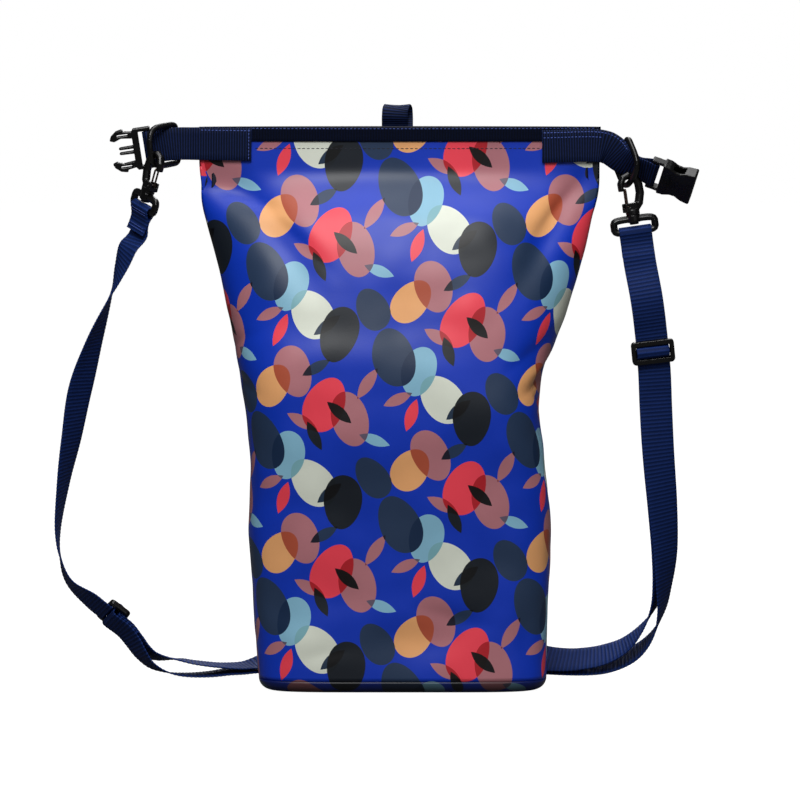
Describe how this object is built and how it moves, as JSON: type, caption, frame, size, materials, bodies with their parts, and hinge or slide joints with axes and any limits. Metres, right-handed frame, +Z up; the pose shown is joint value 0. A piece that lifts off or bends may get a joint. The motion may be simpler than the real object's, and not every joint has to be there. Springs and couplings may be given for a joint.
{
  "type": "dry bag backpack",
  "caption": "Roll-top dry bag worn as a backpack: coated cloth tube on a boxed base, flat taped mouth left open, side-release buckle tabs, snap hooks and adjustable webbing straps.",
  "frame": {"origin": "middle of the flat underside of the base, on the surface the bag stands on", "axes": "+X to the right of the printed front seen from in front, +Y from the front to the back, +Z up to the mouth"},
  "size_m": [0.4971, 0.1384, 0.4478],
  "materials": {
    "printed_cloth": "printed, coated on the outside, satin",
    "webbing": "woven nylon, ribbed across",
    "plastic": "moulded, glossy black",
    "gate_wire": "darkened spring wire"
  },
  "bodies": {
    "bag": {"bag_front": "printed_cloth", "bag_back": "printed_cloth", "base_panel": "printed_cloth", "mouth_band_front": "webbing", "mouth_band_back": "webbing", "hang_tab": "webbing", "tab_left": "webbing", "tab_right": "webbing", "strap_left": "webbing", "strap_right": "webbing", "buckle_male": "plastic", "buckle_female": "plastic", "d_ring_left": "plastic", "d_ring_right": "plastic", "snap_hook_left": "plastic", "snap_hook_right": "plastic", "swivel_eye_left": "plastic", "swivel_eye_right": "plastic", "slider_left": "plastic", "slider_right": "plastic", "strap_anchor_left": "plastic", "strap_anchor_right": "plastic"},
    "gate_left": {"hook_gate_left": "gate_wire"},
    "gate_right": {"hook_gate_right": "gate_wire"}
  },
  "joints": [
    {"name": "gate_left_hinge", "type": "hinge", "parent": "bag", "child": "gate_left", "pos_m": [-0.18946, -0.01335, 0.38648], "axis": [-0.7689, -0.6227, 0.1449], "range_deg": [0, 24], "stiffness_Nm_per_rad": 0.02},
    {"name": "gate_right_hinge", "type": "hinge", "parent": "bag", "child": "gate_right", "pos_m": [0.1742, -0.00763, 0.36988], "axis": [-0.3412, 0.9376, -0.0672], "range_deg": [0, 24], "stiffness_Nm_per_rad": 0.02}
  ]
}
